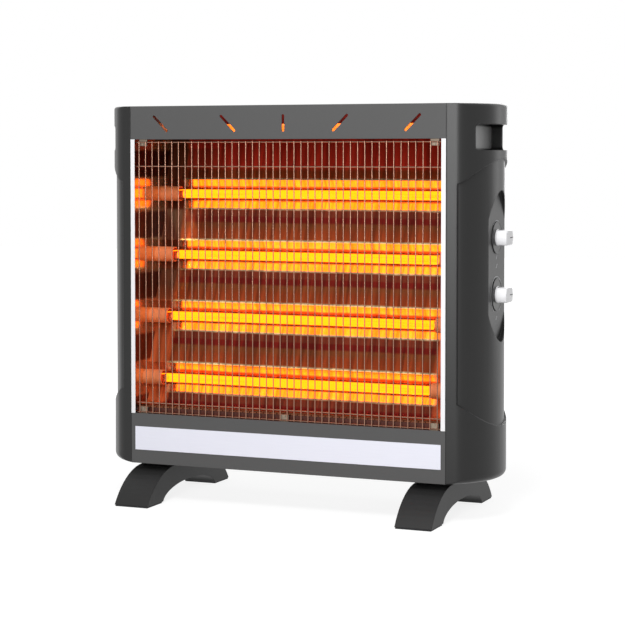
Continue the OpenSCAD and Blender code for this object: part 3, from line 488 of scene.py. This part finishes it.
# the hem is a quarter round, rolled forwards and down from the sheet's lower front edge
hem_r = 0.004
hem_steps = 8
hem_faces = []
hem_points = []
for i in range(hem_steps + 1):
    angle = math.pi / 2 * i / hem_steps
    for r in (hem_r, hem_r - sheet_t):
        y = mirror_low.y - r * math.sin(angle)
        z = mirror_low.z + sheet_t - hem_r + r * math.cos(angle)
        hem_points += [(mirror_low.x, y, z), (mirror_high.x, y, z)]
for i in range(hem_steps):
    a, b = 4 * i, 4 * (i + 1)
    hem_faces += [(a, a + 1, b + 1, b), (a + 2, b + 2, b + 3, a + 3)]
    hem_faces += [(a, b, b + 2, a + 2), (a + 1, a + 3, b + 3, b + 1)]
last = 4 * hem_steps
hem_faces += [(0, 2, 3, 1), (last, last + 1, last + 3, last + 2)]
hem_mesh = bpy.data.meshes.new("reflector_hem")
hem_mesh.from_pydata(hem_points, [], hem_faces)
hem = put_in_scene("reflector_hem", hem_mesh)
# the hem takes the cheeks' painted glow and shade
hem_mesh.materials.append(cheek_sheet)
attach(hem, "housing")


# ---- Heating tubes ----
# Clear fused quartz, open at both ends, round a glowing coil. Seen square on the glass is clear; towards the
# tube's two edges its painted dark brown shows, a painted shade where one looks along its wall, as a line
# beside the coil.
glass_haze_mm = 14.3
glass, tree, shader = start_material("clear fused quartz", Base_Color=linear("#4a1a0c"),
                                     Specular_IOR_Level=0.2)
turned_away = add(tree, "LayerWeight", Blend=0.5)
wall = add(tree, "MapRange", {"Value": turned_away.outputs["Facing"]}, From_Min=0.3, From_Max=0.8,
           To_Min=0.05, To_Max=0.62)
tree.links.new(wall.outputs[0], shader.inputs["Alpha"])
place = add(tree, "TexCoord")
haze = add(tree, "TexNoise", {"Vector": place.outputs["Object"]}, Scale=1000 / glass_haze_mm, Detail=3)
rough = add(tree, "MapRange", {"Value": haze.outputs["Fac"]}, To_Min=0.06, To_Max=0.14)
tree.links.new(rough.outputs[0], shader.inputs["Roughness"])
dress(glass, *tube_names)


# ---- Heating coils ----
# Each coil is resistance wire of 1.2 mm wound on a mandrel, its turns almost touching, with straight tails
# out through the caps. It is one helix; lit, it shines yellow to the eye and throws orange-red light.
coil_names = [f"heating_coil_{i}" for i in (1, 2, 3, 4)]
coil_half = 0.195
hot_spot_mm = 11.1


def hot_coil(name, turn_pitch=0.0015, wire_r=0.0006, steps=12):
    """A helix with straight tails in the space that the CAD coil holds."""
    low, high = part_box(name)
    middle = (low + high) / 2
    radius = (high.z - low.z) / 2 - wire_r
    count = int(2 * coil_half / turn_pitch) * steps
    points = [(low.x, middle.y, middle.z)]
    for i in range(count + 1):
        turn = 2 * math.pi * i / steps
        x = middle.x - coil_half + 2 * coil_half * i / count
        points.append((x, middle.y + radius * math.sin(turn), middle.z + radius * math.cos(turn)))
    points.append((high.x, middle.y, middle.z))
    line = bpy.data.curves.new(name + "_wire", "CURVE")
    line.dimensions = "3D"
    line.bevel_depth = wire_r
    line.bevel_resolution = 1
    spline = line.splines.new("POLY")
    spline.points.add(len(points) - 1)
    for point, at in zip(spline.points, points):
        point.co = (*at, 1)
    return put_in_scene(name + "_wire", line)


wire, tree, shader = start_material("resistance wire, glowing", Base_Color=linear("#1c0f08"), Metallic=1,
                                    Roughness=0.5, Emission_Color=linear("#ff7107"))
place = add(tree, "TexCoord")
spots = add(tree, "TexNoise", {"Vector": place.outputs["Object"]}, Scale=1000 / hot_spot_mm, Detail=2)
power = add(tree, "MapRange", {"Value": spots.outputs["Fac"]}, To_Min=4.6, To_Max=5.6)
tree.links.new(power.outputs[0], shader.inputs["Emission Strength"])
for name in coil_names:
    coil = hot_coil(name)
    coil.data.materials.append(wire)
    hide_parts(name)
    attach(coil, "housing")


# ---- Ceramic caps ----
# Pressed steatite, fired and unglazed, pushed on the tubes' ends and held in the end frames. Its orange-brown
# is the hot wire's glow painted into its colour; the surface is chalky, with a faint speckle.
ceramic = skinned("fired steatite", "#d87a48", 0.7, grain_mm=0.7, depth_mm=0.03, edge_mm=0.6, spread=0.08)
dress(ceramic, "end_caps_left", "end_caps_right")


# ---- Wiring and switchgear ----
# Silicone-insulated leads, black phenolic switches, a cream thermoplastic terminal block and brass
# terminals. All lie inside the side panels; each has the plain moulded, extruded or turned look of its kind.
brass_grain_mm = 0.83
inner_plastics = {
    "silicone lead, red": ("#9c3a26", 0.5, ["bus_lead_left"]),
    "silicone lead, blue": ("#2c5790", 0.5, ["bus_lead_right"]),
    "silicone lead, green": ("#35603a", 0.5, ["switch_leads"]),
    "phenolic, black": ("#29292b", 0.3, ["rotary_switch_upper", "rotary_switch_lower"]),
    "thermoplastic, cream": ("#e0dac9", 0.45, ["terminal_block", "tip_switch_case"]),
}
for name, (tint, roughness, used) in inner_plastics.items():
    dress(skinned(name, tint, roughness, grain_mm=1.2, depth_mm=0.02, edge_mm=0.3, spread=0.04), *used)
dress(brushed("turned brass", "#c9a45a", 0.3, along_x, brass_grain_mm), "tube_terminals")


# ---- Knobs ----
# A dark skirt and a white grip bar with a white collar, all ABS, pushed on the switch's spindle. The skirt is
# a thin disc with a raised, finely milled rim; the bar's edges are rounded and a dark line shows where it
# points. The white is glossy, the dark disc satin.
bar_edge = 0.0024
line_t, line_edge, line_half_w = 0.0002, 0.0001, 0.0007
line_from_share, line_to_share = 0.1, 0.84
bore, hub_r = 0.0083, 0.0104
brim_t = 0.0010
rim_side_t, floor_t = brim_t * 0.7, brim_t * 0.6
rim_round, rim_w, rim_slope = 0.0003, 0.0014, 0.0004
hub_foot = 0.0012
collar_t, collar_round, collar_below_bar = 0.0008, 0.0003, 0.0008


def shell(name, outline, low, high, axis_at):
    """A smooth body over an outline, laid along +X from the control face."""
    mesh = extruded(name, [(x, y, low) for x, y in outline], (0, 0, high - low))
    mesh.transform(Matrix.Translation(axis_at) @ Matrix.Rotation(math.radians(90), 4, "Y"))
    for polygon in mesh.polygons:
        polygon.use_smooth = True
    return put_in_scene(name, mesh)


def bar_outline(half_width, radius, steps=14):
    """A bar whose two ends are parts of one circle."""
    lean = math.asin(half_width / radius)
    ends = []
    for side in (0, math.pi):
        for i in range(steps + 1):
            angle = side + math.pi / 2 - lean + 2 * lean * i / steps
            ends.append((radius * math.cos(angle), radius * math.sin(angle)))
    return ends


def closed(name, points, faces):
    """An object whose faces all look outwards."""
    mesh = bpy.data.meshes.new(name)
    mesh.from_pydata(points, [], faces)
    made = bmesh.new()
    made.from_mesh(mesh)
    bmesh.ops.recalc_face_normals(made, faces=made.faces)
    made.to_mesh(mesh)
    made.free()
    return put_in_scene(name, mesh)


def turned(name, profile, axis_at, axis, steps=96, ribs=0, rib_depth=0, rim_share=0.98):
    """A ring of (radius, height) points turned about +X or +Y, with ribs round its outermost points."""
    outermost = max(r for r, _ in profile)
    points = []
    for i in range(steps):
        angle = 2 * math.pi * i / steps
        for r, h in profile:
            if ribs and r > outermost * rim_share:
                r -= rib_depth * (0.5 + 0.5 * math.cos(ribs * angle))
            across, up = r * math.cos(angle), r * math.sin(angle)
            points.append(Vector((h, across, up) if axis == "X" else (across, h, up)) + Vector(axis_at))
    rows = len(profile)
    faces = []
    for i in range(steps):
        for k in range(rows):
            a, b = i * rows, (i + 1) % steps * rows
            faces.append((a + k, b + k, b + (k + 1) % rows, a + (k + 1) % rows))
    return closed(name, points, faces)


grip_plastic = skinned("gloss ABS, white", "#f2f2f4", 0.2, grain_mm=3, depth_mm=0.01, edge_mm=0.3,
                       spread=0.01)
skirt_plastic = skinned("satin ABS, dark grey", "#2c2c2d", 0.34, grain_mm=2, depth_mm=0.01, edge_mm=0.3,
                        spread=0.03)
line_ink = skinned("dark pad-printed line", "#3a3b3e", 0.5, grain_mm=0.5, depth_mm=0.01, edge_mm=0.1,
                   spread=0.05)

for which in ("upper", "lower"):
    low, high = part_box("knob_grip_" + which)
    centre = Vector((low.x, (low.y + high.y) / 2, (low.z + high.z) / 2))
    half_width = (high.z - low.z) / 2
    radius = (high.y - low.y) / 2
    reach = high.x - low.x - line_t
    grip = shell("knob_bar_" + which, bar_outline(half_width, radius), 0, reach, centre)
    round_edges(grip, bar_edge, segments=4)
    grip.data.materials.append(grip_plastic)
    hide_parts("knob_grip_" + which)
    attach(grip, "knob_" + which)
    line_from, line_to = radius * line_from_share, radius * line_to_share
    line = [(-line_half_w, line_from), (line_half_w, line_from),
            (line_half_w, line_to), (-line_half_w, line_to)]
    pointer = shell("knob_pointer_" + which, line, reach, reach + line_t, centre)
    round_edges(pointer, line_edge, segments=4)
    pointer.data.materials.append(line_ink)
    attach(pointer, "knob_" + which)

for which in ("upper", "lower"):
    low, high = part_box("knob_skirt_" + which)
    outer = (high.z - low.z) / 2
    thick = high.x - low.x
    centre = (low.x, (low.y + high.y) / 2, (low.z + high.z) / 2)
    profile = [(bore, 0), (outer, 0), (outer, rim_side_t), (outer - rim_round, brim_t),
               (outer - rim_w, brim_t), (outer - rim_w - rim_slope, floor_t), (hub_r + hub_foot, floor_t),
               (hub_r, brim_t), (hub_r, thick), (bore, thick)]
    skirt = turned("knob_ring_" + which, profile, centre, "X", steps=288, ribs=48, rib_depth=0.0002)
    skirt.data.materials.append(skirt_plastic)
    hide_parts("knob_skirt_" + which)
    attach(skirt, "knob_" + which)
    collar_r, collar_top = hub_r + collar_t, thick - collar_below_bar
    collar_profile = [(hub_r, brim_t), (collar_r, brim_t), (collar_r, collar_top - collar_round),
                      (collar_r - collar_round, collar_top), (hub_r, collar_top)]
    collar = turned("knob_collar_" + which, collar_profile, centre, "X")
    collar.data.materials.append(grip_plastic)
    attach(collar, "knob_" + which)


# ---- Dial marks ----
# Light grey pad print on the control face, 0.1 mm proud: an arc over the upper knob, a ring open at the
# bottom round the lower one, and three short slanted ticks. There is no lettering.
print_t = 0.0001
ring_w = 0.0011
ring_half_steps = 24
tick_half_w, tick_l, tick_slant = 0.0012, 0.0052, 0.0022
tick_below_upper, tick_below_lower = 0.0262, 0.031
skirt_lift = 0.0003
face_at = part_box("knob_skirt_upper")[0].x - skirt_lift
dial_ink = skinned("light grey pad print", "#a4a5a7", 0.5, grain_mm=0.5, depth_mm=0.01, edge_mm=0.1,
                   spread=0.05)


def printed(name, outline):
    """A closed strip of (Y, Z) pairs, first one side and then back along the other, printed on the face."""
    count = len(outline)
    points = [(face_at + h, y, z) for h in (0, print_t) for y, z in outline]
    faces = [(i, i + 1, i + 1 + count, i + count) for i in range(count - 1)]
    faces.append((count - 1, 0, count, 2 * count - 1))
    for layer in (0, count):
        for i in range(count // 2 - 1):
            near, far = layer + i, layer + count - 1 - i
            faces.append((near, near + 1, far - 1, far))
    piece = closed(name, points, faces)
    piece.data.materials.append(dial_ink)
    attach(piece, "housing")


knob_levels = {}
for which, ring_r, half_turn in (("upper", 0.0232, 40), ("lower", 0.0247, 155)):
    low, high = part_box("knob_skirt_" + which)
    mid_y, mid_z = (low.y + high.y) / 2, (low.z + high.z) / 2
    knob_levels[which] = mid_z
    turns = [math.radians(half_turn * i / ring_half_steps)
             for i in range(-ring_half_steps, ring_half_steps + 1)]
    outside, inside = [[(mid_y + r * math.sin(a), mid_z + r * math.cos(a)) for a in turns]
                       for r in (ring_r, ring_r - ring_w)]
    printed("dial_ring_" + which, outside + inside[::-1])

for name, tick_z in (("one", knob_levels["upper"] - tick_below_upper),
                     ("two", (knob_levels["upper"] + knob_levels["lower"]) / 2),
                     ("three", knob_levels["lower"] - tick_below_lower)):
    z0, z1 = tick_z - tick_l / 2, tick_z + tick_l / 2
    printed("dial_tick_" + name, [(-tick_slant - tick_half_w, z0), (tick_slant - tick_half_w, z1),
                                  (tick_slant + tick_half_w, z1), (-tick_slant + tick_half_w, z0)])


# ---- Feet ----
# One moulded bridge under each side, darker than the casing and matt, bolted down from inside the tray. Four
# pads of dull black rubber under their ends keep the heater from sliding.
foot_plastic = skinned("moulded plastic, charcoal", "#222222", 0.48, grain_mm=0.9, depth_mm=0.02, edge_mm=1.6,
                       spread=0.04, gloss=0.25)
dress(foot_plastic, "foot_left", "foot_right")
rubber = skinned("black rubber", "#1d1e20", 0.8, grain_mm=0.6, depth_mm=0.05, edge_mm=0.4, spread=0.08)
dress(rubber, "foot_pads")


# ---- Back screws ----
# Black-zinc pan heads with a cross recess, eight of them, down both sides of the back panel. The plating is
# dark, with a soft metallic sheen.
head_r = 0.0032
head_levels = [0.020, 0.166, 0.332, 0.476]
black_zinc = brushed("black-zinc steel", "#4a4b4e", 0.45, along_x, zinc_grain_mm)


def pan_head(name, at, radius, height, rings=14, steps=64, dome_power=3, recess_power=0.4):
    """A domed head on a wall that faces +Y, with a cross recess with sloping ends."""
    arm, half_slot, depth = radius * 0.6, radius * 0.15, height * 0.6
    points = [(at[0], at[1] + height - depth, at[2])]
    for k in range(1, rings + 1):
        r = radius * k / rings
        for i in range(steps):
            a = 2 * math.pi * i / steps
            u, v = r * math.cos(a), r * math.sin(a)
            dome = height * math.sqrt(max(0, 1 - (r / radius) ** dome_power))
            narrow, wide = min(abs(u), abs(v)), max(abs(u), abs(v))
            inside = narrow < half_slot and wide < arm
            cut = depth * max(0, 1 - wide / arm) ** recess_power if inside else 0
            points.append((at[0] + u, at[1] + max(0, dome - cut), at[2] + v))
    faces = [(0, 1 + i, 1 + (i + 1) % steps) for i in range(steps)]
    for k in range(rings - 1):
        a = 1 + k * steps
        b = a + steps
        faces += [(a + i, b + i, b + (i + 1) % steps, a + (i + 1) % steps) for i in range(steps)]
    mesh = bpy.data.meshes.new(name)
    mesh.from_pydata(points, [], faces)
    mesh.materials.append(black_zinc)
    piece = put_in_scene(name, mesh)
    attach(piece, "housing")
    return piece


low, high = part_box("back_screws")
back_low, back_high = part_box("back_panel")
for side, x in (("left", low.x + head_r), ("right", high.x - head_r)):
    for i, level in enumerate(head_levels):
        at = (x, back_high.y, back_low.z + level)
        pan_head(f"back_screw_{side}_{i + 1}", at, head_r, high.y - back_high.y)
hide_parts("back_screws")


# ---- Cable gland ----
# Black nylon: a flange with a milled rim on the back panel, and a round cap with a bevelled end. Its mouth is
# empty, because the photograph shows no cord.
flange_r, cap_r, mouth_r = 0.011, 0.0078, 0.004
flange_t, flange_round, cap_round = 0.003, 0.0009, 0.0015
nylon = skinned("nylon, black", "#202123", 0.5, grain_mm=1.2, depth_mm=0.02, edge_mm=0.3, spread=0.04)
low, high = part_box("cable_gland")
gland_at = ((low.x + high.x) / 2, back_high.y, (low.z + high.z) / 2)
cap_end = high.y - back_high.y
behind = low.y - back_high.y
profile = [(mouth_r, behind), (cap_r, behind), (cap_r, 0), (flange_r, 0), (flange_r, flange_t * 0.7),
           (flange_r - flange_round, flange_t), (cap_r, flange_t), (cap_r, cap_end - cap_round),
           (cap_r - cap_round, cap_end), (mouth_r, cap_end)]
gland = turned("gland_cap", profile, gland_at, "Y", steps=144, ribs=24, rib_depth=0.0004)
gland.data.materials.append(nylon)
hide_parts("cable_gland")
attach(gland, "housing")


low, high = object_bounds()
